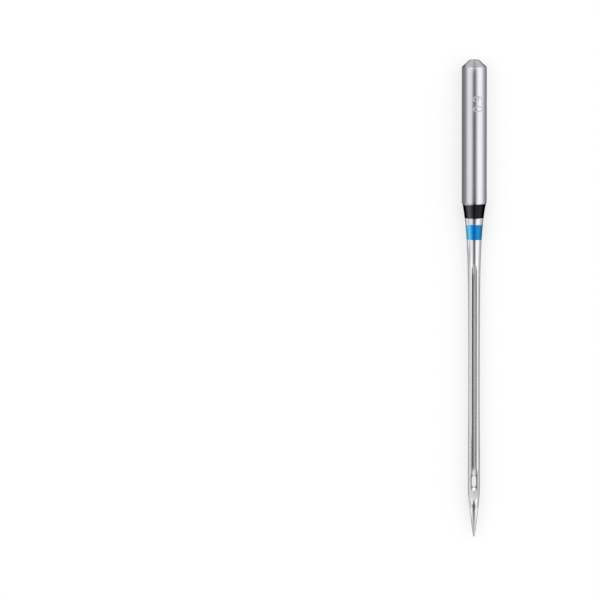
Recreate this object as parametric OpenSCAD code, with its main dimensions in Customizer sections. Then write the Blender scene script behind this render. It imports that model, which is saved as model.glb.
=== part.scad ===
// Sewing machine needle with a flat shank, for domestic overlock machines.
// It lies on the flat of its shank with the long groove up and the point towards -Y.
// Lengths in millimetres. Distances along the needle are measured from its butt.

/* [Length] */
// Distance from the butt to the top of the eye
butt_to_eye = 33.9; // [30:0.1:36]
// Distance from the top of the eye to the tip
eye_to_tip = 5.0; // [4:0.1:6]

/* [Shank] */
// Diameter of the round shank
shank_d = 2.02; // [1.8:0.01:2.3]
// Thickness of the shank from its flat to its round front
shank_flat_t = 1.62; // [1.5:0.01:1.75]
// Length of the straight shank, with the butt
shank_len = 11.5; // [9:0.1:13]
// Diameter of the flat end of the butt
butt_d = 0.74; // [0.4:0.02:1.2]
// Angle of the butt's cone from the needle's axis
butt_angle = 47.5; // [30:0.5:60]
// Radius of the rounded edge between the butt's cone and the shank
butt_edge_r = 0.15; // [0.05:0.05:0.6]

/* [Shoulder] */
// Length of the rounded bevel that ends the straight shank
bevel_len = 0.25; // [0.1:0.01:0.4]
// Drop in radius across that bevel
bevel_drop = 0.085; // [0.02:0.005:0.15]
// Length in which the shoulder falls to 37 percent of its height above the blade
shoulder_fall = 2.6; // [1.5:0.1:3.5]

/* [Blade and point] */
// Diameter of the blade
blade_d = 0.9; // [0.8:0.01:1.0]
// Diameter of the blade at the eye, where it swells a little
eye_swell_d = 0.966; // [0.85:0.002:1.1]
// Length above the eye in which the blade swells
swell_len = 6.9; // [3:0.1:9]
// Straight length below the eye before the point begins
point_delay = 0.2; // [0:0.05:0.5]
// Power that shapes the point, from a cone at 1 to a bulged ogive at 2
point_power = 1.3; // [1.1:0.1:2]
// Radius of the rounded tip
tip_r = 0.07; // [0.02:0.01:0.1]

/* [Eye] */
// Width of the eye
eye_w = 0.36; // [0.28:0.01:0.4]
// Length of the eye
eye_len = 0.95; // [0.7:0.01:1.2]
// Radius across the scoop that opens the long groove around the eye
scoop_r = 0.4; // [0.3:0.01:0.5]
// Depth of that scoop below the swell's front
scoop_depth = 0.24; // [0.1:0.01:0.26]
// Distance from the top of the scoop to the top of the eye
scoop_rise = 0.75; // [0.4:0.05:1.2]
// Distance from the bottom of the eye to the bottom of the scoop
scoop_foot = 1.05; // [0.7:0.05:1.4]
// Radius of the scoop's run-outs, along the needle
scoop_run_r = 1.2; // [1:0.1:2]

/* [Long groove] */
// Width of the long groove along the front
groove_w = 0.4; // [0.3:0.01:0.5]
// Depth of the long groove in the blade
groove_depth = 0.34; // [0.2:0.01:0.38]
// Distance from the end of the shank to where the long groove begins
groove_lead = 5.05; // [4:0.05:8]
// Radius of the long groove's run-out at the shoulder
groove_lead_r = 4; // [2:0.5:8]
// Distance from the bottom of the eye to where the long groove ends
groove_foot = 0.8; // [0.5:0.05:1.3]
// Radius of the long groove's run-out below the eye
groove_foot_r = 3; // [2:0.5:6]

/* [Back grooves] */
// Width of the second long groove, on the back of the blade
back_groove_w = 0.3; // [0.2:0.01:0.36]
// Depth of the second long groove
back_groove_depth = 0.16; // [0.08:0.01:0.18]
// Distance from the end of the shank to where the second groove begins
back_groove_lead = 6.5; // [5:0.1:9]
// Width of the short groove that leads out of the back of the eye
short_groove_w = 0.26; // [0.2:0.01:0.34]
// Depth of the short groove, from the blade's own back
short_groove_depth = 0.25; // [0.22:0.01:0.28]
// Distance from where the short groove begins to the top of the eye
short_groove_rise = 0.7; // [0.4:0.05:1.2]
// Distance from the bottom of the eye to where the short groove ends
short_groove_foot = 0.75; // [0.6:0.05:1.1]
// Radius of the second groove's run-outs
back_run_r = 3.5; // [2:0.5:6]
// Radius of the short groove's run-outs
short_run_r = 1.5; // [1:0.1:2]

/* [Scarf] */
// Depth of the scarf, the hollow for the looper behind the eye
scarf_depth = 0.2; // [0.12:0.01:0.24]
// Distance from the top of the scarf to the top of the eye
scarf_rise = 2.85; // [2:0.05:4]
// Distance from the bottom of the eye to the bottom of the scarf
scarf_foot = 0.45; // [0.3:0.05:0.55]
// Radius of the scarf's upper end
scarf_top_r = 2.5; // [1:0.5:4]
// Radius of the scarf's lower end
scarf_foot_r = 4; // [2:0.5:6]

/* [Colour bands] */
// Thickness of the lacquer of the bands, let in flush with the steel
lacquer_t = 0.02; // [0.015:0.005:0.04]
// Distance from the start of the shoulder to the black band
black_band_gap = 0.04; // [0.01:0.01:0.5]
// Width of the black band
black_band_w = 1.04; // [0.5:0.02:1.3]
// Bare width between the two bands
band_space = 0.58; // [0.2:0.02:1]
// Width of the blue band
blue_band_w = 1.16; // [0.5:0.02:1.3]

/* [Hidden] */
$fn = 96;

// Counts of the outline's steps along each curved stretch
edge_steps = 4;
bevel_steps = 4;
shoulder_steps = 16;
swell_steps = 6;
point_steps = 14;
tip_steps = 5;
// Share of the shoulder's height that its own steps follow, before the blade runs straight
shoulder_share = 0.98;
// Length by which cutters pass the surface that they cut
over = 0.5;

shank_r = shank_d / 2;
blade_r = blade_d / 2;
eye_swell_r = eye_swell_d / 2;
needle_len = butt_to_eye + eye_to_tip;
eye_bottom = butt_to_eye + eye_len;
flat_drop = shank_flat_t - shank_r;
cutter_reach = shank_r + over;

// The shoulder starts below the bevel, and the swell ends at the top of the eye
shoulder_s = shank_len + bevel_len;
shoulder_r = shank_r - bevel_drop;
bevel_r = (bevel_len * bevel_len + bevel_drop * bevel_drop) / (2 * bevel_drop);
bevel_angle = asin(bevel_len / bevel_r);
swell_s = butt_to_eye - swell_len;

// The point is an ogive that meets the ball of the rounded tip at tip_contact
point_s = eye_bottom + point_delay;
tip_angle = atan(point_power * eye_swell_r / (needle_len - point_s));
tip_centre = needle_len - tip_r;
tip_contact = tip_centre + tip_r * sin(tip_angle);
tip_share = 1 - tip_r * cos(tip_angle) / eye_swell_r;
apex_s = point_s + (tip_contact - point_s) / pow(tip_share, 1 / point_power);

// The butt's cone meets the shank in a rounded edge
butt_cone_len = (shank_r - butt_d / 2) / tan(butt_angle);
edge_end = butt_cone_len + butt_edge_r * tan(butt_angle / 2);

// Floors of the cuts, as heights from the axis, with the front up
groove_floor = blade_r - groove_depth;
scoop_floor = eye_swell_r - scoop_depth;
back_floor = blade_r - back_groove_depth;
short_floor = blade_r - short_groove_depth;
scarf_floor = blade_r - scarf_depth;

// Places of the bands
black_band_s = shoulder_s + black_band_gap;
blue_band_s = black_band_s + black_band_w + band_space;

// A smooth step from 0 to 1
function ease(t) =
    let (u = min(max(t, 0), 1))
    u * u * (3 - 2 * u);

// Radius of the shoulder and the blade at a distance from the butt
function blade_radius(s) =
    blade_r
    + (shoulder_r - blade_r) * exp(-(s - shoulder_s) / shoulder_fall)
    + (eye_swell_r - blade_r) * ease((s - swell_s) / swell_len);

// Radius of the point at a distance from the butt
function point_radius(s) =
    blade_radius(point_s) * (1 - pow(max(s - point_s, 0) / (apex_s - point_s), point_power));

function outer_radius(s) = s < point_s ? blade_radius(s) : point_radius(s);

// Length along the needle in which a round run-out of radius r climbs by rise
function run_len(r, rise) = sqrt(rise * (2 * r - rise));

// Outlines as points of radius and distance from the butt
butt_points = [
    for (i = [0:edge_steps])
        let (a = butt_angle * (1 - i / edge_steps))
        [shank_r - butt_edge_r * (1 - cos(a)), edge_end - butt_edge_r * sin(a)]
];
bevel_points = [
    for (i = [0:bevel_steps - 1])
        let (a = bevel_angle * i / bevel_steps)
        [shank_r - bevel_r * (1 - cos(a)), shank_len + bevel_r * sin(a)]
];
shoulder_points = [
    for (i = [0:shoulder_steps])
        let (s = shoulder_s - shoulder_fall * ln(1 - shoulder_share * i / shoulder_steps))
        [blade_radius(s), s]
];
swell_points = [
    for (i = [0:swell_steps])
        let (s = swell_s + swell_len * i / swell_steps)
        [blade_radius(s), s]
];
point_points = [
    for (i = [0:point_steps - 1])
        let (s = point_s + (tip_contact - point_s) * i / point_steps)
        [point_radius(s), s]
];
tip_points = [
    for (i = [0:tip_steps - 1])
        let (a = tip_angle + (90 - tip_angle) * i / tip_steps)
        [tip_r * cos(a), tip_centre + tip_r * sin(a)]
];
whole_outline = concat(
    [[butt_d / 2, 0]],
    butt_points,
    bevel_points,
    shoulder_points,
    swell_points,
    point_points,
    tip_points,
    [[0, needle_len]]
);

// Stands the needle's own axes, butt at the origin and front towards +Y, into its resting place
module lay() {
    translate([0, needle_len / 2, flat_drop])
        rotate([90, 0, 0])
            children();
}

// A round body turned from an outline, inset from its surface, with the shank's flat on its back
module turned(outline, inset) {
    last = len(outline) - 1;
    inner = [for (p = outline) [max(p[0] - inset, 0), p[1]]];
    difference() {
        rotate_extrude()
            polygon(concat([[0, outline[0][1]]], inner, inner[last][0] > 0 ? [[0, outline[last][1]]] : []));
        translate([-cutter_reach, inset - flat_drop - cutter_reach, -over])
            cube([2 * cutter_reach, cutter_reach, needle_len]);
    }
}

// A length of the needle, wider than its shank
module slice(start, width) {
    translate([0, 0, start])
        cylinder(r = cutter_reach, h = width);
}

// A band of lacquer around the shoulder, flush with the steel on both sides of it
module band(start, width) {
    intersection() {
        slice(start, width);
        difference() {
            turned(shoulder_points, 0);
            turned(shoulder_points, lacquer_t);
        }
    }
}

// The seat that a band of lacquer fills, open outwards
module band_seat(start, width) {
    difference() {
        slice(start, width);
        turned(shoulder_points, lacquer_t);
    }
}

// The section of a groove with a round floor, as seen along the needle
module groove_section(width, floor_y) {
    translate([0, floor_y + width / 2])
        circle(d = width);
    translate([-width / 2, floor_y + width / 2])
        square([width, over]);
}

// One end of a groove, which climbs out of the steel towards the butt along an arc
module run_out(width, floor_y, climb_r) {
    climb_angle = acos(1 - (shank_r - floor_y) / climb_r);
    translate([0, floor_y + climb_r, 0])
        rotate([0, 90, 0])
            rotate([0, 0, -90])
                rotate_extrude(angle = climb_angle)
                    translate([climb_r, 0])
                        rotate(90)
                            groove_section(width, 0);
}

// A groove in the front that leaves the steel at lead_s and foot_s, each along an arc
module groove(width, floor_y, lead_s, lead_r, foot_s, foot_r) {
    start = lead_s + run_len(lead_r, outer_radius(lead_s) - floor_y);
    end = foot_s - run_len(foot_r, outer_radius(foot_s) - floor_y);
    translate([0, 0, start])
        linear_extrude(height = end - start)
            groove_section(width, floor_y);
    translate([0, 0, start])
        run_out(width, floor_y, lead_r);
    translate([0, 0, end])
        mirror([0, 0, 1])
            run_out(width, floor_y, foot_r);
}

// The long groove that guides the thread down the front and through the eye
module long_groove() {
    groove(groove_w, groove_floor,
        shank_len + groove_lead, groove_lead_r,
        eye_bottom + groove_foot, groove_foot_r);
}

// The scoop that opens the long groove around the eye
module scoop() {
    groove(2 * scoop_r, scoop_floor,
        butt_to_eye - scoop_rise, scoop_run_r,
        eye_bottom + scoop_foot, scoop_run_r);
}

// The hollow behind the eye, with its round ends, as seen from the side
module scarf() {
    top_s = butt_to_eye - scarf_rise;
    foot_s = eye_bottom + scarf_foot;
    start = top_s + run_len(scarf_top_r, outer_radius(top_s) - scarf_floor);
    end = foot_s - run_len(scarf_foot_r, outer_radius(foot_s) - scarf_floor);
    rotate([0, -90, 0])
        linear_extrude(height = 2 * cutter_reach, center = true) {
            translate([start, -scarf_floor - over])
                square([end - start, over]);
            translate([start, -scarf_floor - scarf_top_r])
                circle(r = scarf_top_r);
            translate([end, -scarf_floor - scarf_foot_r])
                circle(r = scarf_foot_r);
        }
}

// The second long groove, down the back of the blade into the scarf
module back_groove() {
    mirror([0, 1, 0])
        groove(back_groove_w, back_floor,
            shank_len + back_groove_lead, back_run_r,
            butt_to_eye - scarf_rise / 2, back_run_r);
}

// The short groove that lets the thread out of the back of the eye
module short_groove() {
    mirror([0, 1, 0])
        groove(short_groove_w, short_floor,
            butt_to_eye - short_groove_rise, short_run_r,
            eye_bottom + short_groove_foot, short_run_r);
}

// The eye, a slot with round ends from the front to the back
module eye() {
    rotate([90, 0, 0])
        linear_extrude(height = 2 * cutter_reach, center = true) {
            translate([0, butt_to_eye + eye_w / 2])
                circle(d = eye_w);
            translate([-eye_w / 2, butt_to_eye + eye_w / 2])
                square([eye_w, eye_len - eye_w]);
            translate([0, eye_bottom - eye_w / 2])
                circle(d = eye_w);
        }
}

module needle() {
    color("silver")
        lay()
            difference() {
                turned(whole_outline, 0);
                band_seat(black_band_s, black_band_w);
                band_seat(blue_band_s, blue_band_w);
                long_groove();
                scoop();
                back_groove();
                short_groove();
                scarf();
                eye();
            }
}

module black_band() {
    color([0.08, 0.09, 0.1])
        lay()
            band(black_band_s, black_band_w);
}

module blue_band() {
    color([0.06, 0.45, 0.8])
        lay()
            band(blue_band_s, blue_band_w);
}

needle();
black_band();
blue_band();
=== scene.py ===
import math

import bmesh
import bpy
import numpy as np
from mathutils import Matrix, Vector


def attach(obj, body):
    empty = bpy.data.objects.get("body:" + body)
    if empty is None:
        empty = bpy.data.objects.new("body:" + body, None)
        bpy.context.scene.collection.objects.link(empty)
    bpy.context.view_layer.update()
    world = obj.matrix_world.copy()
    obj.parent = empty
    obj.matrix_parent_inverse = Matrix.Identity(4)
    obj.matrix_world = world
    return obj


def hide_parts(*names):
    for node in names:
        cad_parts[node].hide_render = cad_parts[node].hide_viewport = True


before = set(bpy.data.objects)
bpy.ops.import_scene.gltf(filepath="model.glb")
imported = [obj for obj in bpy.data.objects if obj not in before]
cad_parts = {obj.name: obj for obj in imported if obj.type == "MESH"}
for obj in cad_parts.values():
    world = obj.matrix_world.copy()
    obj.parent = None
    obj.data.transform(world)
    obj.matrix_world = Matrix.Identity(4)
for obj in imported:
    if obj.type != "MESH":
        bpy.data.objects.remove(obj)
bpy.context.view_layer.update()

# The steel of the needle: one wire of hardened carbon steel, swaged down from the shank
# to the blade, ground to its outline, milled with its grooves and its scarf, pierced and
# polished at the eye, and plated with chromium. Millimetres, from the butt to the tip.
needle_len = 38.9
eye_top = 33.9
eye_bottom = 34.85
eye_half = 0.18
shank_r = 1.01
flat_height = 0.61
shank_len = 11.5
shoulder_s = 11.75
shoulder_r = 0.925
shoulder_fall = 2.6
blade_r = 0.45
swell_r = 0.483
swell_s = 27.0
point_s = 35.05
point_power = 1.3
tip_r = 0.07
tip_angle = math.atan(point_power * swell_r / (needle_len - point_s))
tip_contact = needle_len - tip_r + tip_r * math.sin(tip_angle)
tip_share = 1 - tip_r * math.cos(tip_angle) / swell_r
apex_s = point_s + (tip_contact - point_s) / tip_share ** (1 / point_power)
seat_depth = 0.02
seats = ((11.79, 12.83), (13.41, 14.57))


def ease(t):
    t = min(max(t, 0), 1)
    return t * t * (3 - 2 * t)


def blade_radius(s):
    """Radius of the shoulder and the blade at a distance from the butt."""
    shoulder = (shoulder_r - blade_r) * math.exp(-(s - shoulder_s) / shoulder_fall)
    return blade_r + shoulder + (swell_r - blade_r) * ease((s - swell_s) / (eye_top - swell_s))


def radius(s):
    """Radius below the shank, with the ogive of the point and its ball tip."""
    if s < point_s:
        return blade_radius(s)
    if s > tip_contact:
        return math.sqrt(max(tip_r ** 2 - (s - needle_len + tip_r) ** 2, 0))
    return blade_radius(point_s) * (1 - ((s - point_s) / (apex_s - point_s)) ** point_power)


def run_length(run_r, rise):
    return math.sqrt(rise * (2 * run_r - rise))


# The round of a groove's floor, the rise up its wall, and a height that is clear of the steel
floor_turn = np.linspace(0, math.pi / 2, 61)
wall_rise = np.linspace(0.01, 0.6, 60)
clear = 9.0


class Groove:
    """A groove milled by a round-edged wheel, which runs out of the steel at both ends."""

    def __init__(self, half, floor, lead_s, lead_r, foot_s, foot_r):
        self.half, self.floor = half, floor
        self.lead_r, self.foot_r = lead_r, foot_r
        self.start = lead_s + run_length(lead_r, radius(lead_s) - floor)
        self.end = foot_s - run_length(foot_r, radius(foot_s) - floor)

    def path(self, s):
        """Its section at a distance from the butt, from the middle of the floor up its wall."""
        x = np.concatenate((self.half * np.sin(floor_turn), np.full(len(wall_rise), self.half)))
        h = np.concatenate((self.half * (1 - np.cos(floor_turn)), self.half + wall_rise))
        if self.start <= s <= self.end:
            return np.stack((x, self.floor + h), axis=1)
        run_r = self.lead_r if s < self.start else self.foot_r
        off = max(self.start - s, s - self.end)
        inside = (run_r - h) ** 2 - off ** 2
        y = np.where(inside > 0, self.floor + run_r - np.sqrt(np.maximum(inside, 0)), clear)
        return np.stack((x, y), axis=1)

    def height(self, s, x):
        """Height of its floor above the axis at a distance from the middle."""
        path = self.path(s)[:len(floor_turn)]
        return float(np.interp(x, path[:, 0], path[:, 1])) if x < self.half else clear


long_groove = Groove(
    half=0.2, floor=0.11, lead_s=shank_len + 5.05, lead_r=4.0, foot_s=eye_bottom + 0.8, foot_r=3.0,
)
scoop = Groove(
    half=0.4, floor=swell_r - 0.24, lead_s=eye_top - 0.75, lead_r=1.2,
    foot_s=eye_bottom + 1.05, foot_r=1.2,
)
second_groove = Groove(
    half=0.15, floor=0.29, lead_s=shank_len + 6.5, lead_r=3.5, foot_s=eye_top - 1.425, foot_r=3.5,
)
short_groove = Groove(
    half=0.13, floor=0.2, lead_s=eye_top - 0.7, lead_r=1.5, foot_s=eye_bottom + 0.75, foot_r=1.5,
)

# Below the scoop the front falls away steeply, and the round of the point takes over again
fall_s = eye_bottom + 1.18
fall_len = 0.72
fall_share = 0.4
fall_end = 38.6


def front_share(s):
    """Height of the point's front as a share of its radius."""
    back_up = ease((s - fall_s - fall_len) / (fall_end - fall_s - fall_len))
    return 1 - fall_share * ease((s - fall_s) / fall_len) * (1 - back_up)


# The scarf is milled across the back above and behind the eye, with a round run at each end
scarf_floor = 0.25
scarf_top_r = 2.5
scarf_foot_r = 4.0
scarf_top = eye_top - 2.85
scarf_foot = eye_bottom + 0.45
scarf_start = scarf_top + run_length(scarf_top_r, radius(scarf_top) - scarf_floor)
scarf_end = scarf_foot - run_length(scarf_foot_r, radius(scarf_foot) - scarf_floor)
second_groove_end = scarf_top + 1.2
below_flat_s = 16


def back_height(s, inset):
    """Height below the axis of the shank's flat or of the scarf, where they reach the steel."""
    if s < below_flat_s:
        return flat_height - inset
    off = max(scarf_start - s, s - scarf_end, 0)
    run_r = scarf_top_r if s < scarf_start else scarf_foot_r
    return scarf_floor + run_r - math.sqrt(run_r ** 2 - off ** 2) if off < run_r else clear


# The eye is a pierced slot. Its rim is polished round: tight at the sides, and in a longer
# roll at both ends, where the thread bends through it.
rim_steps = 5
rim_side = 0.03
rim_top = 0.15
rim_bottom = 0.2
rim_drop_front = 0.08
rim_drop_back = 0.05


def rim_columns(s):
    """Distances from the middle of the columns over the rolled rim, and how far down each lies."""
    share = np.linspace(0, 1, rim_steps + 1)
    half = eye_half + rim_side * share
    top_c, bottom_c = eye_top + eye_half, eye_bottom - eye_half
    off, roll = (top_c - s, rim_top) if s < top_c else (max(s - bottom_c, 0), rim_bottom)
    x = half * np.sqrt(np.maximum(1 - (off / (eye_half + roll * share)) ** 2, 0))
    reach = np.maximum(share, min(max((off - eye_half) / roll, 0), 1))
    return x, 1 - np.sqrt(np.maximum(1 - (1 - reach) ** 2, 0))


def under(path, cover):
    """The part of a groove's section that lies under a cover, up to where it comes out."""
    gap = cover(path[:, 0]) - path[:, 1]
    if gap[0] <= 0:
        return None
    out = int(np.argmax(gap <= 0))
    share = gap[out - 1] / (gap[out - 1] - gap[out])
    return np.vstack((path[:out], path[out - 1] + share * (path[out] - path[out - 1])))


def beyond(path, x):
    """The part of a section that lies further from the middle than x."""
    if path is None or path[-1, 0] <= x + 1e-6:
        return None
    if path[0, 0] >= x:
        return path
    keep = int(np.argmax(path[:, 0] > x))
    share = (x - path[keep - 1, 0]) / (path[keep, 0] - path[keep - 1, 0])
    return np.vstack((path[keep - 1] + share * (path[keep] - path[keep - 1]), path[keep:]))


def path_length(path):
    return 0.0 if path is None else float(np.linalg.norm(np.diff(path, axis=0), axis=1).sum())


def along(path, start, end, steps):
    """Points at even steps along a path."""
    length = np.concatenate(([0], np.cumsum(np.linalg.norm(np.diff(path, axis=0), axis=1))))
    at = np.linspace(start, end, steps + 1)
    return np.stack((np.interp(at, length, path[:, 0]), np.interp(at, length, path[:, 1])), axis=1)


def bent(t, start, corner, end):
    """Points on the smooth curve from a start to an end that rounds off their corner."""
    return (1 - t) ** 2 * start + 2 * t * (1 - t) * corner + t ** 2 * end


# An edge takes up no more than this share of a face beside it
edge_share = 0.45
bend_steps = 4
bend_t = np.linspace(0, 1, bend_steps + 1)[1:-1, None]


def joined(paths, steps, first, edge_r):
    """One row of points along the paths, with the edges between them rounded."""
    lengths = [path_length(path) for path in paths]
    live = [i for i, length in enumerate(lengths) if length > 1e-4]
    trims = np.zeros((len(paths), 2))
    for a, b in zip(live, live[1:]):
        trims[a, 1] = trims[b, 0] = min(edge_r, edge_share * lengths[a], edge_share * lengths[b])
    here = np.array(first)
    rows = []
    for i, path in enumerate(paths):
        if i in live:
            row = along(path, trims[i, 0], lengths[i] - trims[i, 1], steps[i])
        else:
            row = np.repeat(here[None], steps[i] + 1, axis=0)
        rows.append(row)
        here = row[-1]
        later = [b for b in live if b > i]
        if i + 1 == len(paths):
            break
        if i in live and later:
            begin = along(paths[later[0]], 0, trims[later[0], 0], 1)[-1]
            rows.append(bent(bend_t, here, path[-1], begin))
            here = begin
        else:
            rows.append(np.repeat(here[None], bend_steps - 1, axis=0))
    return np.vstack(rows)


# Steps over the groove, the scoop, the outer round, the scarf and the groove behind
section_steps = (12, 6, 30, 5, 8)
outer_first = sum(section_steps[:2]) + 2 + 2 * (bend_steps - 1)
lip_r = 0.012


def side_angle(x, r):
    """Angle from the middle to where a round of this radius is x wide, or a quarter turn."""
    return math.asin(min(x / max(r, 1e-9), 1))


def half_section(s, inset):
    """Half of the needle's section below the shank, from its front round to its back."""
    r = radius(s) - inset
    rim_x, rim_down = rim_columns(s)
    edge = rim_x[-1]

    def round_cover(x):
        return np.sqrt(np.maximum(r * r - x * x, 0))

    scooped = under(scoop.path(s), round_cover)

    def front_cover(x):
        cover = round_cover(x)
        if scooped is None:
            return cover
        return np.minimum(cover, np.interp(x, scooped[:, 0], scooped[:, 1], right=clear))

    milled = under(long_groove.path(s), front_cover)
    scoop_from = max(edge, milled[-1, 0] if milled is not None else 0)
    front = beyond(milled, edge)
    hollow = beyond(scooped, scoop_from)

    def front_height(x):
        return min(long_groove.height(s, x), float(front_cover(np.array([x]))[0]))

    level = back_height(s, inset)
    flat_x = math.sqrt(r * r - level * level) if level < r else 0.0
    rear = second_groove if s < second_groove_end else short_groove
    slot = under(rear.path(s), lambda x: np.minimum(round_cover(x), level))
    slot_x = max(edge, slot[-1, 0] if slot is not None else 0)
    slot = beyond(slot, edge)

    def back_depth(x):
        return min(rear.height(s, x), float(round_cover(np.array([x]))[0]), level)

    out_x = hollow[-1, 0] if hollow is not None else scoop_from
    in_x = max(flat_x, slot_x)
    angles = np.linspace(side_angle(out_x, r), math.pi - side_angle(in_x, r), 181)
    outer = r * np.stack((np.sin(angles), np.cos(angles)), axis=1)
    flat = None
    if flat_x > slot_x + 1e-4:
        flat = np.array([[flat_x, -level], [slot_x, -level]])
    back = slot[::-1] * (1, -1) if slot is not None else None
    paths = (front, hollow, outer, flat, back)
    row = joined(paths, section_steps, (edge, front_height(edge)), lip_r)
    arc = row[outer_first:outer_first + section_steps[2] + 1]
    arc *= r / np.maximum(np.linalg.norm(arc, axis=1, keepdims=True), 1e-9)
    fall = front_share(s)
    row[:, 1] = np.where(row[:, 1] > 0, row[:, 1] * fall, row[:, 1])
    columns = list(zip(rim_x, rim_down))
    rim_front = [(x, fall * front_height(x) - down * rim_drop_front) for x, down in columns]
    rim_back = [(x, down * rim_drop_back - back_depth(x)) for x, down in columns]
    return np.vstack((rim_front[:-1], row, rim_back[-2::-1]))


def steps_between(start, end, count):
    return list(np.linspace(start, end, count + 1)[1:])


def stretches(start, ends_and_counts):
    """Stations over stretches that follow each other, each with its end and its count."""
    found = []
    for end, count in ends_and_counts:
        found += steps_between(start, end, count)
        start = end
    return found


# Stations along the needle are close where the grooves begin and end and around the eye
bare_ends = (seats[1][0], 14.62)
stations = [(seats[0][0], 0.0)]
for (seat_start, seat_end), bare_end in zip(seats, bare_ends):
    stations += [(s, seat_depth) for s in [seat_start] + steps_between(seat_start, seat_end, 8)]
    stations += [(s, 0.0) for s in [seat_end] + steps_between(seat_end, bare_end, 5)]
quarter = np.linspace(0, math.pi / 2, 9)[1:]
below_seats = (
    stretches(bare_ends[1], (
        (16.5, 18), (17.3, 40), (19.3, 40), (31.0, 39), (32.2, 30), (33.1, 9),
        (eye_top - rim_top, 22), (eye_top, 8),
    ))
    + [eye_top + eye_half * (1 - math.cos(a)) for a in quarter]
    + steps_between(eye_top + eye_half, eye_bottom - eye_half, 8)
    + [eye_bottom - eye_half * (1 - math.sin(a)) for a in quarter]
    + stretches(eye_bottom, ((eye_bottom + rim_bottom, 8), (36.0, 34), (tip_contact, 48)))
    + [needle_len - tip_r + tip_r * math.sin(a) for a in np.linspace(tip_angle, math.pi / 2, 8)[1:]]
)
stations += [(s, 0.0) for s in below_seats]
blade_rows = [half_section(s, inset) for s, inset in stations]

# A plain number for the blade's width is engraved on the shank, fine and shallow. Each
# numeral is a row of points along its strokes, drawn upright in a box one unit tall.
numeral_height = 0.8
numeral_width = 1.58
numeral_base = math.radians(40)
numeral_start = 4.15
numeral_end = numeral_start - numeral_width * numeral_height
numeral_room = 0.06
stroke_half = 0.034
stroke_soft = 0.012
stroke_depth = 0.014


def oval(cx, cy, rx, ry):
    a = np.linspace(0, 2 * math.pi, 90)
    return np.stack((cx + rx * np.cos(a), cy + ry * np.sin(a)), axis=1)


def nine(cx):
    start, corner, end = np.array([[cx + 0.24, 0.72], [cx + 0.26, 0.2], [cx - 0.12, 0.02]])
    tail = bent(np.linspace(0, 1, 60)[:, None], start, corner, end)
    return np.vstack((oval(cx, 0.73, 0.24, 0.26), tail))


strokes = np.vstack((
    oval(0.26, 0.5, 0.25, 0.49),
    oval(0.77, 0.04, 0.03, 0.03),
    nine(1.3),
)) * numeral_height


def engraved(s, angle):
    """Share of the engraving's depth at a place on the shank, from 0 to 1."""
    across = (numeral_base - angle) * shank_r
    reach = np.hypot(strokes[:, 0] - (numeral_start - s), strokes[:, 1] - across).min()
    return ease((stroke_half + stroke_soft - reach) / (2 * stroke_soft))


# The shank is ground round, with a flat on its back. Its butt is a cone that is cut flat.
butt_r = 0.37
butt_angle = math.radians(47.5)
butt_edge_r = 0.15
cone_len = (shank_r - butt_r) / math.tan(butt_angle)
edge_end = cone_len + butt_edge_r * math.tan(butt_angle / 2)
edge_start = edge_end - butt_edge_r * math.sin(butt_angle)
bevel_len = shoulder_s - shank_len
bevel_drop = shank_r - shoulder_r
bevel_r = (bevel_len ** 2 + bevel_drop ** 2) / (2 * bevel_drop)
face_edge = 0.02


def round_edge(level_s, edge_r, angles):
    """Stations over a round edge, which has the shank's full radius at level_s."""
    return [(level_s + edge_r * math.sin(a), shank_r - edge_r * (1 - math.cos(a))) for a in angles]


face_rim = np.array((
    (0, butt_r - face_edge),
    (0, butt_r),
    (face_edge * math.cos(butt_angle), butt_r + face_edge * math.sin(butt_angle)),
))
shank_stations = [(0, r) for r in (0, 0.1, 0.2, 0.28, butt_r - face_edge)]
shank_stations += [tuple(bent(t, *face_rim)) for t in (0.25, 0.5, 0.75, 1)]
shank_stations += [
    (s, butt_r + s * math.tan(butt_angle)) for s in np.linspace(0.05, edge_start, 14)
]
shank_stations += round_edge(edge_end, butt_edge_r, np.linspace(-butt_angle, 0, 9)[1:])
shank_stations += [(s, shank_r) for s in stretches(edge_end, (
    (numeral_end - numeral_room, 6), (numeral_start + numeral_room, 112), (shank_len, 24),
))]
shank_stations += round_edge(
    shank_len, bevel_r, np.linspace(0, math.asin(bevel_len / bevel_r), 9)[1:],
)

shank_flat_steps = 6
flat_edge = 0.03
numeral_angles = (numeral_base - (numeral_height + 0.05) / shank_r, numeral_base + 0.05)


def shank_side(s, r, sign, fine_to, fine_steps, coarse_steps):
    """One side of the shank's section, from its front round to the middle of its back."""
    flat_x = math.sqrt(r * r - flat_height ** 2) if r > flat_height else 0.0
    trim = min(flat_edge, edge_share * flat_x)
    end = math.pi - side_angle(flat_x, r) - trim / r if r > 0 else math.pi
    angles = np.concatenate((
        np.linspace(0, fine_to, fine_steps + 1),
        np.linspace(fine_to, end, coarse_steps + 1)[1:],
    ))
    in_text = r == shank_r and numeral_end - numeral_room < s < numeral_start + numeral_room
    low, high = numeral_angles
    depth = np.array([
        engraved(s, sign * a) if in_text and low < sign * a < high else 0 for a in angles
    ])
    arc = (r - stroke_depth * depth)[:, None] * np.stack((np.sin(angles), np.cos(angles)), axis=1)
    corner = np.array([flat_x, -flat_height if flat_x else -r])
    flat_start = corner - (trim, 0)
    flat_points = np.linspace(flat_start[0], 0, shank_flat_steps + 1)
    flat = np.stack((flat_points, np.full(len(flat_points), corner[1])), axis=1)
    row = np.vstack((arc, bent(bend_t, arc[-1], corner, flat_start), flat)) * (sign, 1)
    return row, np.concatenate((depth, np.zeros(len(row) - len(depth))))


# The number runs down the right of the front, where the points lie closest together
shank_rows = []
for s, r in shank_stations:
    right, right_depth = shank_side(
        s, r, 1, fine_to=numeral_angles[1], fine_steps=66, coarse_steps=20,
    )
    left, left_depth = shank_side(
        s, r, -1, fine_to=-numeral_angles[0], fine_steps=12, coarse_steps=28,
    )
    shank_rows.append((
        np.vstack((left[::-1], right[1:])),
        np.concatenate((left_depth[::-1], right_depth[1:])),
    ))

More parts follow.
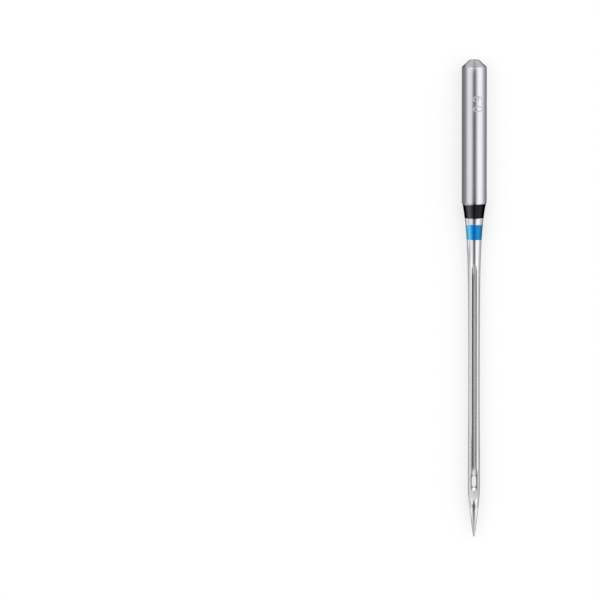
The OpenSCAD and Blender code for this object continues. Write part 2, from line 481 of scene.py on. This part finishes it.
steel = bmesh.new()
engraving = steel.verts.layers.float.new("engraving")
milling = steel.verts.layers.float.new("milling")


def place(x, y, s):
    """A point of the needle in its resting place, in metres."""
    return Vector((x, needle_len / 2 - s, y + flat_height)) * 0.001


def add_row(points, s, layer, marks):
    row = [steel.verts.new(place(x, y, s)) for x, y in points]
    for vert, mark in zip(row, marks):
        vert[layer] = mark
    return row


def add_strips(rows):
    for above, below in zip(rows, rows[1:]):
        for i in range(len(above) - 1):
            steel.faces.new((above[i], above[i + 1], below[i + 1], below[i]))


shank_grid = [
    add_row(row, s, engraving, depth) for (row, depth), (s, r) in zip(shank_rows, shank_stations)
]
add_strips(shank_grid)

# Milled faces carry a mark for the finish: the grooves, the scoop, the scarf and the eye
milled_from = long_groove.start - 2
mill_mark = np.zeros(len(blade_rows[0]))
mill_mark[:rim_steps + outer_first] = 1
mill_mark[-(rim_steps + section_steps[4] + bend_steps):] = 1
sides = []
for sign in (1, -1):
    grid = [
        add_row(row * (sign, 1), s, milling, mill_mark * (s > milled_from))
        for (s, inset), row in zip(stations, blade_rows)
    ]
    add_strips(grid)
    sides.append(grid)
    walls = []
    for (s, inset), row in zip(stations, blade_rows):
        if eye_top - 1e-6 < s < eye_bottom + 1e-6:
            heights = np.linspace(row[0, 1], row[-1, 1], 9)
            walls.append(add_row([(row[0, 0] * sign, y) for y in heights], s, milling, np.ones(9)))
    add_strips(walls)

# The last ring of the shank and the first ring of the shoulder have their own counts of
# points, and a strip of triangles joins them in order of angle.
ring_a = shank_grid[-1]
ring_b = sides[1][0][::-1] + sides[0][0][1:]


def turn_of(vert):
    return math.atan2(vert.co.x, vert.co.z - flat_height * 0.001)


turns_a = [turn_of(v) for v in ring_a]
turns_b = [turn_of(v) for v in ring_b]
turns_a[0] = turns_b[0] = -math.pi
i = j = 0
while i < len(ring_a) - 1 or j < len(ring_b) - 1:
    if j == len(ring_b) - 1 or (i < len(ring_a) - 1 and turns_a[i + 1] <= turns_b[j + 1]):
        steel.faces.new((ring_a[i], ring_a[i + 1], ring_b[j]))
        i += 1
    else:
        steel.faces.new((ring_a[i], ring_b[j + 1], ring_b[j]))
        j += 1


def piece_of(name, shape, weld, crease):
    """A piece from its bmesh, smooth but for the edges that are sharper than a crease."""
    bmesh.ops.remove_doubles(shape, verts=shape.verts, dist=weld)
    bmesh.ops.dissolve_degenerate(shape, edges=shape.edges, dist=1e-8)
    bmesh.ops.recalc_face_normals(shape, faces=shape.faces)
    mesh = bpy.data.meshes.new(name)
    shape.to_mesh(mesh)
    shape.free()
    for face in mesh.polygons:
        face.use_smooth = True
    mesh.set_sharp_from_angle(angle=math.radians(crease))
    piece = bpy.data.objects.new(name, mesh)
    bpy.context.scene.collection.objects.link(piece)
    return piece


needle = piece_of("needle_steel", steel, weld=2e-7, crease=28)


class Value:
    """A value in a finish, whose arithmetic adds the nodes that it needs."""

    def __init__(self, finish, socket):
        self.finish, self.socket = finish, socket

    def _maths(self, operation, first, second):
        return self.finish.add("ShaderNodeMath", {"operation": operation}, {0: first, 1: second})

    def __add__(self, other):
        return self._maths("ADD", self, other)

    def __radd__(self, other):
        return self._maths("ADD", other, self)

    def __sub__(self, other):
        return self._maths("SUBTRACT", self, other)

    def __rsub__(self, other):
        return self._maths("SUBTRACT", other, self)

    def __mul__(self, other):
        return self._maths("MULTIPLY", self, other)

    def __rmul__(self, other):
        return self._maths("MULTIPLY", other, self)

    def clipped(self):
        return self.finish.add("ShaderNodeClamp", {}, {0: self})


class Finish:
    """A material, a lamp or a room, whose nodes all come from one method."""

    def __init__(self, owner):
        self.owner = owner
        owner.use_nodes = True
        self.nodes = owner.node_tree.nodes
        self.nodes.clear()

    def add(self, kind, settings, inputs, output=0):
        node = self.nodes.new(kind)
        for name, setting in settings.items():
            if name == "stops":
                ramp = node.color_ramp.elements
                while len(ramp) < len(setting):
                    ramp.new(0.5)
                for element, (position, colour) in zip(ramp, setting):
                    element.position = position
                    element.color = (*colour, 1)
            else:
                setattr(node, name, setting)
        for key, value in inputs.items():
            socket = node.inputs[key]
            if isinstance(value, Value):
                self.owner.node_tree.links.new(value.socket, socket)
            else:
                socket.default_value = value
        return Value(self, node.outputs[output])

    def part(self, vector, axis):
        return self.add("ShaderNodeSeparateXYZ", {}, {0: vector}, axis)

    def places(self, scale=(1, 1, 1)):
        """Places on the object in millimetres, stretched by a scale."""
        spot = self.add("ShaderNodeTexCoord", {}, {}, "Object")
        stretch = tuple(1000 * k for k in scale)
        return self.add("ShaderNodeVectorMath", {"operation": "MULTIPLY"}, {0: spot, 1: stretch})

    def from_butt(self):
        return needle_len / 2 - self.part(self.places(), "Y")

    def noise(self, scale, detail):
        sockets = {"Vector": self.places(scale), "Scale": 1.0, "Detail": detail}
        return self.add("ShaderNodeTexNoise", {}, sockets)

    def mix(self, share, first, second):
        return self.add("ShaderNodeMix", {"data_type": "RGBA"}, {0: share, 6: first, 7: second}, 2)

    def ramp(self, place, stops):
        return self.add("ShaderNodeValToRGB", {"stops": stops}, {0: place})

    def smooth_step(self, place, start, end):
        """0 on one side of a stretch and 1 on the other, with a soft change between them."""
        sockets = {0: place, 1: start, 2: end, 3: 0.0, 4: 1.0}
        return self.add("ShaderNodeMapRange", {"interpolation_type": "SMOOTHSTEP"}, sockets)

    def window(self, place, rise, fall):
        """1 between two places and 0 beyond them, with a soft change over each stretch."""
        return self.smooth_step(place, *rise) * self.smooth_step(place, *fall)

    def ring_turn(self, seat):
        """Place across the shoulder from 0 at its left flank to 1 at its right, along its taper."""
        wide, narrow = (1 / blade_radius(s) for s in seat)
        taper = (narrow - wide) / (seat[1] - seat[0])
        narrowing = wide + taper * (self.from_butt() - seat[0])
        return 0.5 + 0.5 * narrowing * self.part(self.places(), "X")

    def bump(self, height, distance):
        sockets = {"Height": height, "Distance": distance, "Strength": 1.0}
        return self.add("ShaderNodeBump", {}, sockets)

    def done(self, inputs):
        shader = self.add("ShaderNodeBsdfPrincipled", {}, inputs)
        return self.shown("ShaderNodeOutputMaterial", shader)

    def shown(self, kind, shader):
        out = self.nodes.new(kind)
        self.owner.node_tree.links.new(shader.socket, out.inputs["Surface"])
        return self.owner


# Bright chromium over ground steel: rings of the grinding wheel run round the shank, and a
# polish runs along the blade. The milled bed of the grooves and of the scoop is duller, and
# so are the point and the number's strokes. Its greys change around the needle with painted
# shade and painted highlights, which stand in for reflections on the plain bright steel.
plate = Finish(bpy.data.materials.new("plated_steel"))
cut = plate.add("ShaderNodeAttribute", {"attribute_name": "engraving"}, {}, "Fac")
mill = plate.add("ShaderNodeAttribute", {"attribute_name": "milling"}, {}, "Fac")
crosswise = plate.part(plate.places(), "X")
upward = plate.part(plate.places(), "Z")
from_butt = plate.from_butt()
aside = crosswise * crosswise
on_blade = plate.smooth_step(from_butt, shank_len - 0.5, shank_len + 4.5)
at_point = plate.smooth_step(from_butt, needle_len - 2.3, needle_len - 1.1)
above_axis = plate.smooth_step(upward, 0.6, 0.75)
rings = plate.noise((0.6, 14, 0.6), 3.0)
strokes_along = plate.noise((26, 0.7, 26), 3.0)
clouds = plate.noise((0.9, 0.35, 0.9), 2.0)
grain = rings * (1 - on_blade) + strokes_along * on_blade


def grey(level, blue=0.005):
    """A grey of the steel, with a trace of blue."""
    return level, level, level + blue, 1


# The ground shank has painted shade near its two flanks: dark reflections painted into its grey
ground = plate.mix(clouds, (0.45, 0.455, 0.485, 1), grey(0.5, 0.025))
on_front = plate.smooth_step(upward, 0.74, 0.9)
shank_left_painted_shade = plate.window(crosswise, (-0.66, -0.8), (-1.0, -0.88))
shank_right_painted_shade = plate.window(crosswise, (0.7, 0.82), (1.0, 0.9))
ground = plate.mix(on_front * shank_left_painted_shade, ground, grey(0.2, 0.015))
ground = plate.mix(on_front * shank_right_painted_shade, ground, grey(0.33, 0.02))

# The polished blade is darker at the point. A painted highlight runs down its left flank, and
# painted shade lies at the groove's left lip near the eye
honed = plate.mix(clouds, (0.49, 0.495, 0.505, 1), grey(0.55, 0.01))
honed = plate.mix(at_point, honed, grey(0.44))
blade_left_painted_highlight = (
    plate.smooth_step(from_butt, shank_len + 3.5, shank_len + 6) * above_axis
    * plate.window(crosswise, (-0.18, -0.25), (-0.43, -0.36))
)
honed = plate.mix(blade_left_painted_highlight, honed, grey(0.72))
# Painted shade along the groove's left lip near the eye
lip_painted_shade = above_axis * plate.window(crosswise, (-0.285, -0.235), (0.0, -0.1)) * plate.window(
    from_butt, (eye_top - 4.4, eye_top - 2.4), (eye_bottom + 0.45, eye_bottom + 0.25),
)
honed = plate.mix(lip_painted_shade, honed, grey(0.2))

# The neck below the black lacquer has a painted highlight near its left flank
bright = plate.mix(on_blade, ground, honed)
neck = (12.8, 15.6)
neck_painted_highlight = (
    plate.window(from_butt, (12.6, 12.8), (15.8, 14.8)) * above_axis
    * plate.window(plate.ring_turn(neck), (0.04, 0.1), (0.24, 0.17))
)
bright = plate.mix(neck_painted_highlight, bright, grey(0.78, 0.01))

# The milled bed has painted shade in the groove's left side, painted light at the eye and painted
# highlights at its two ends, painted shade around its rim, and an even grey on the back
bed_grey = grey(0.52)
near_eye = plate.smooth_step(from_butt, eye_top - 0.8, eye_top - 0.2)
mid_aside = plate.smooth_step(aside, 0.03, 0.018)
bed_left_painted_shade = plate.smooth_step(crosswise, 0.03, -0.05) * plate.smooth_step(upward, 0.9, 0.82)
# Painted light in the eye and painted highlights at its ends, and painted shade around its rim
eye_painted_light = near_eye * plate.smooth_step(from_butt, eye_bottom + 0.35, eye_bottom + 0.15)
eye_ends_painted_highlight = plate.window(
    from_butt, (eye_top - 0.18, eye_top - 0.04), (eye_bottom + 0.18, eye_bottom + 0.12),
)
eye_rim_painted_shade = plate.window(aside, (0.014, 0.026), (0.075, 0.055)) * plate.window(
    from_butt, (eye_top - 0.3, eye_top - 0.1), (eye_bottom + 0.3, eye_bottom + 0.1),
)
at_back = plate.smooth_step(upward, 0.66, 0.56)
bed = plate.mix(bed_left_painted_shade, bed_grey, grey(0.24))
bed = plate.mix(near_eye, bed, bed_grey)
bed = plate.mix(eye_painted_light * mid_aside, bed, grey(0.7))
bed = plate.mix(eye_ends_painted_highlight * mid_aside, bed, grey(0.93))
bed = plate.mix(eye_rim_painted_shade, bed, grey(0.27))
bed = plate.mix(at_back, bed, grey(0.48))

colour = plate.mix(cut, plate.mix(mill, bright, bed), grey(0.4, 0))
dull = mill * plate.window(
    from_butt, (eye_top - 0.18, eye_top - 0.04), (eye_bottom + 1.15, eye_bottom + 0.95),
)
needle.data.materials.append(plate.done({
    "Base Color": colour, "Metallic": 1.0, "Specular Tint": (0.15, 0.15, 0.17, 1),
    "Roughness": (
        0.13 + 0.07 * grain + 0.03 * clouds + 0.17 * mill + 0.22 * dull + 0.3 * cut
        + 0.16 * at_point
    ),
    "Normal": plate.bump(grain, 0.0000012),
}))
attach(needle, "root")
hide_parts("needle")

# The two colour marks are rings of lacquer, rolled onto the turning shoulder and baked.
# Each stands a hair proud of the steel, thins out at its edges, and wanders a little there.
lacquer_proud = 0.01
thin_edge = 0.035
band_turns = 256
edge_profile = [
    (thin_edge * (1 - math.cos(t)), lacquer_proud * math.sin(t))
    for t in np.linspace(0, math.pi / 2, 7)
]


def steel_radius(s):
    """Radius of the steel under the lacquer, on the shank's rounded end and on the shoulder."""
    if s < shoulder_s:
        return shank_r - bevel_r + math.sqrt(bevel_r ** 2 - (s - shank_len) ** 2)
    return radius(s)


def lacquer_profile(start, top, foot, end):
    """Distances from the butt and heights round a band's section, back along its seat."""
    fifths = (0.2, 0.4, 0.6, 0.8)
    profile = [(start, -seat_depth), (start, 0.0), (top, 0.0)]
    profile += [(top + off, rise) for off, rise in edge_profile]
    profile += [
        (top + thin_edge + t * (foot - top - 2 * thin_edge), lacquer_proud) for t in fifths
    ]
    profile += [(foot - off, rise) for off, rise in edge_profile[::-1]]
    profile += [(foot, 0.0), (end, 0.0), (end, -seat_depth)]
    return profile + [(start + t * (end - start), -seat_depth) for t in fifths[::-1]]


def lacquer_band(name, start, end, wander, rise_right, phase):
    """A closed ring of lacquer that fills its seat and laps over the seat's two edges."""
    band = bmesh.new()
    around = []
    for k in range(band_turns):
        a = 2 * math.pi * k / band_turns
        waver_top = 0.28 * math.sin(3 * a + phase) + 0.22 * math.sin(7 * a + 2 * phase)
        waver_foot = 0.3 * math.sin(2 * a + 3 * phase) + 0.2 * math.sin(5 * a + phase)
        top = start - wander[0] * (0.5 + waver_top) - rise_right * (1 + math.sin(a)) / 2
        foot = end + wander[1] * (0.5 + waver_foot)
        ring = []
        for s, rise in lacquer_profile(start, top, foot, end):
            r = steel_radius(s) + rise
            bottom = flat_height + min(rise, 0)
            x, y = r * math.sin(a), r * math.cos(a)
            if y < -bottom:
                x, y = x * bottom / -y, -bottom
            ring.append(band.verts.new(place(x, y, s)))
        around.append(ring)
    for here, after in zip(around, around[1:] + around[:1]):
        for i in range(len(here)):
            band.faces.new((here[i - 1], here[i], after[i], after[i - 1]))
    piece = piece_of(name, band, weld=1e-8, crease=40)
    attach(piece, "root")
    return piece


black = lacquer_band(
    "black_lacquer_band", *seats[0], wander=(0.05, 0.03), rise_right=0.1, phase=0.7,
)
dark = Finish(bpy.data.materials.new("black_lacquer"))
rolled = dark.noise((1.5, 9, 1.5), 3.0)
patches = dark.noise((1.2, 1.0, 1.2), 2.0)
# Its colour across the band holds painted reflections: a highlight down its left flank, a fainter
# one on the right, and painted shade at its edges
black_painted_reflections = dark.ramp(dark.ring_turn(seats[0]) + 0.04 * (patches - 0.5), (
    (0.07, (0.004, 0.004, 0.005)), (0.18, (0.078, 0.081, 0.087)), (0.38, (0.03, 0.03, 0.035)),
    (0.52, (0.028, 0.028, 0.034)), (0.65, (0.011, 0.0115, 0.014)), (0.81, (0.019, 0.019, 0.022)),
    (0.92, (0.004, 0.004, 0.005)),
))
black.data.materials.append(dark.done({
    "Base Color": black_painted_reflections, "Metallic": 1.0, "Roughness": 0.2 + 0.12 * rolled,
    "Specular Tint": (0, 0, 0, 1), "Normal": dark.bump(rolled, 0.000002),
}))
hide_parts("black_band")

blue = lacquer_band(
    "blue_lacquer_band", *seats[1], wander=(0.07, 0.04), rise_right=0.02, phase=2.1,
)
tint = Finish(bpy.data.materials.new("blue_lacquer"))
rolled = tint.noise((1.5, 8, 1.5), 3.0)
patches = tint.noise((1.3, 1.1, 1.3), 2.0)
# Its colour across the band holds painted reflections: a light highlight down its left flank, a
# deeper blue through the middle, and painted shade at its edges
blue_painted_reflections = tint.ramp(tint.ring_turn(seats[1]) + 0.04 * (patches - 0.5), (
    (0.07, (0.07, 0.27, 0.37)), (0.16, (0.19, 0.63, 0.94)), (0.27, (0.032, 0.315, 0.6)),
    (0.37, (0.007, 0.175, 0.47)), (0.48, (0.002, 0.175, 0.61)), (0.62, (0.008, 0.15, 0.4)),
    (0.8, (0.008, 0.18, 0.385)), (0.93, (0.006, 0.1, 0.22)),
))
blue.data.materials.append(tint.done({
    "Base Color": blue_painted_reflections, "Metallic": 0.55, "Roughness": 0.2 + 0.1 * rolled, "IOR": 1.5,
    "Specular Tint": (0.2, 0.6, 0.8, 1), "Normal": tint.bump(rolled, 0.000002),
}))
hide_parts("blue_band")

# The needle lies on a plain pale table. Its colour is lifted a little for the camera and
# for the reflections, so that it reads as white paper and keeps the needle's shadow.
table_half = 3.0
table_mesh = bpy.data.meshes.new("table")
table_mesh.from_pydata(
    [(x * table_half, y * table_half, 0) for x, y in ((-1, -1), (1, -1), (1, 1), (-1, 1))],
    [], [(0, 1, 2, 3)],
)
table = bpy.data.objects.new("table", table_mesh)
bpy.context.scene.collection.objects.link(table)
paper = Finish(bpy.data.materials.new("table_card"))
seen = (
    paper.add("ShaderNodeLightPath", {}, {}, "Is Camera Ray")
    + paper.add("ShaderNodeLightPath", {}, {}, "Is Glossy Ray")
    + paper.add("ShaderNodeLightPath", {}, {}, "Is Transmission Ray")
).clipped()
fibre = paper.noise((1.2, 1.2, 1.2), 3.0)
sheet = paper.mix(fibre, (0.35, 0.35, 0.35, 1), (0.37, 0.37, 0.37, 1))
matt = paper.add("ShaderNodeBsdfDiffuse", {}, {"Color": sheet, "Roughness": 0.5})
lift = paper.add("ShaderNodeEmission", {}, {"Color": (1, 1, 1, 1), "Strength": 0.62})
none = paper.add("ShaderNodeEmission", {}, {"Color": (0, 0, 0, 1), "Strength": 0.0})
lifted = paper.add("ShaderNodeMixShader", {}, {0: seen, 1: none, 2: lift})
card = paper.add("ShaderNodeAddShader", {}, {0: matt, 1: lifted})
table_mesh.materials.append(paper.shown("ShaderNodeOutputMaterial", card))

# Two long soft boxes hang over the table, one on each side of the needle, and leave a dark
# gap between them above it. A small one hangs over the butt's end.
box_distance = 0.45


def soft_box(name, levels, length, lean, shift):
    """A soft box with its levels at angles to the left and right of straight above the needle."""
    low, high = levels[0][0], levels[-1][0]
    middle = math.radians((low + high) / 2)
    spread = math.tan(math.radians((high - low) / 2))
    width = 2 * box_distance * spread
    lamp = bpy.data.lights.new(name, "AREA")
    lamp.shape = "RECTANGLE"
    lamp.size, lamp.size_y = width, length
    lamp.energy = 2 * math.pi * width * length
    cloth = Finish(lamp)
    spot = cloth.add("ShaderNodeNewGeometry", {}, {}, "Parametric")
    level = cloth.ramp(cloth.part(spot, "X"), [
        (0.5 + math.tan(math.radians(angle) - middle) / spread / 2, (share / 2,) * 3)
        for angle, share in levels
    ])
    cloth.shown("ShaderNodeOutputLight", cloth.add("ShaderNodeEmission", {}, {"Color": level}))
    box = bpy.data.objects.new(name, lamp)
    turned = Matrix.Rotation(-math.radians(lean), 4, "X") @ Matrix.Rotation(middle, 4, "Y")
    box.matrix_world = turned @ Matrix.Translation((0, shift, box_distance))
    box.visible_camera = False
    bpy.context.scene.collection.objects.link(box)


soft_box("left_soft_box", (
    (-88, 0.2), (-80, 0.58), (-70, 1.0), (-58, 1.33), (-45, 1.43), (-35, 1.37), (-27, 1.12),
    (-20, 0.66), (-13, 0.18), (-8, 0.04),
), length=1.43, lean=0, shift=0.26)
soft_box("right_soft_box", (
    (8, 0.04), (14, 0.3), (21, 0.86), (30, 1.38), (40, 1.72), (52, 1.76), (63, 1.6), (75, 1.46),
    (84, 1.15), (88, 0.95),
), length=1.43, lean=0, shift=0.26)
soft_box(
    "end_soft_box", ((-30, 0.8), (-24, 0.95), (16, 0.95), (22, 0.8)),
    length=0.52, lean=31, shift=0,
)

# The room is light low down beyond the point, dark above that, and dim everywhere else. A
# strip over the needle, between the soft boxes, has its own levels from end to end.
room = bpy.data.worlds.new("room")
bpy.context.scene.world = room
air = Finish(room)
around = air.add("ShaderNodeTexCoord", {}, {}, "Generated")
to_right = 0.5 + 0.5 * air.part(around, "X")
to_butt = 0.5 + 0.5 * air.part(around, "Y")
wall = air.ramp(to_butt, (
    (0.0, (0.6, 0.6, 0.605)), (0.1, (0.9, 0.9, 0.905)), (0.125, (0.6, 0.6, 0.605)),
    (0.15, (0.05, 0.05, 0.052)), (0.24, (0.06, 0.06, 0.062)), (0.28, (0.16, 0.16, 0.165)),
    (1.0, (0.18, 0.18, 0.185)),
))
gap = air.ramp(to_butt, (
    (0.2, (0.03, 0.03, 0.032)), (0.3, (0.15, 0.15, 0.165)), (0.6, (0.17, 0.17, 0.185)),
    (0.85, (0.05, 0.05, 0.055)),
))
beside = air.ramp(to_right, (
    (0.38, (1, 1, 1)), (0.44, (0, 0, 0)), (0.57, (0, 0, 0)), (0.63, (1, 1, 1)),
))
backdrop = air.add("ShaderNodeBackground", {}, {"Color": air.mix(beside, gap, wall)})
air.shown("ShaderNodeOutputWorld", backdrop)

# The camera looks down on the needle through a long lens, from a little on the butt's side.
# The needle lies to the right of the middle of the frame, and leans by a hair in it.
frame_px = 600
scale_px = 12.332
needle_px = Vector((474.15, 299.34))
look_height = 0.0008
tilt = math.radians(6)
roll = math.radians(0.129)
camera_data = bpy.data.cameras.new("camera")
camera_data.lens = 343.0
camera_data.sensor_width = 36.0
camera_data.clip_start = 0.01
camera_data.clip_end = 20
camera = bpy.data.objects.new("camera", camera_data)
bpy.context.scene.collection.objects.link(camera)
back = Vector((0, math.sin(tilt), math.cos(tilt)))
up = Vector((0, math.cos(tilt), -math.sin(tilt)))
turned = Matrix.Rotation(-roll, 3, back)
up, right = turned @ up, turned @ Vector((1, 0, 0))
px = 0.001 / scale_px
offset = (needle_px - Vector((frame_px, frame_px)) / 2) * px
aim = Vector((0, 0, look_height)) - right * offset.x + up * offset.y
spot = aim + back * (frame_px * px * camera_data.lens / camera_data.sensor_width)
camera.matrix_world = Matrix((
    (right.x, up.x, back.x, spot.x),
    (right.y, up.y, back.y, spot.y),
    (right.z, up.z, back.z, spot.z),
    (0, 0, 0, 1),
))
bpy.context.scene.camera = camera
bpy.context.scene.view_settings.view_transform = "Standard"
